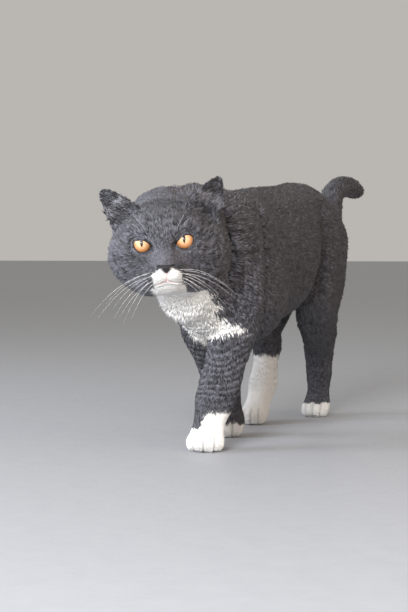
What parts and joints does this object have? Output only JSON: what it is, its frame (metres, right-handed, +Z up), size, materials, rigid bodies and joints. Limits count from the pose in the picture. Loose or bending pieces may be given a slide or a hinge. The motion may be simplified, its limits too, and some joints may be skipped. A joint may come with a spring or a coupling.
{
  "type": "cat",
  "caption": "Short-haired cat walking with its head low and turned to its left and its tail raised behind, standing on flat paw soles.",
  "frame": {"origin": "middle of the base of the box round the whole cat, at the level of the paw soles", "axes": "+Z up; -Y the way the cat walks; +X its left side"},
  "size_m": [0.1474, 0.6908, 0.3277],
  "materials": {
    "blue_coat": "short dense blue-grey fur with paler tips",
    "white_coat": "short dense white fur",
    "nose_leather": "fine-grained damp slate skin",
    "amber_eye": "clear wet cornea over a copper iris with a dark slit pupil"
  },
  "bodies": {
    "root": {"head": "blue_coat", "nose": "nose_leather", "ear_left": "blue_coat", "ear_right": "blue_coat", "eye_left": "amber_eye", "eye_right": "amber_eye", "neck": "blue_coat", "trunk": "blue_coat", "tail_base": "blue_coat", "tail_end": "blue_coat", "fore_left_upper_arm": "blue_coat", "fore_left_forearm": "blue_coat", "fore_left_paw": "white_coat", "fore_right_upper_arm": "blue_coat", "fore_right_forearm": "blue_coat", "fore_right_paw": "white_coat", "hind_left_thigh": "blue_coat", "hind_left_shank": "blue_coat", "hind_left_paw": "white_coat", "hind_right_thigh": "blue_coat", "hind_right_shank": "blue_coat", "hind_right_paw": "white_coat"}
  },
  "joints": []
}
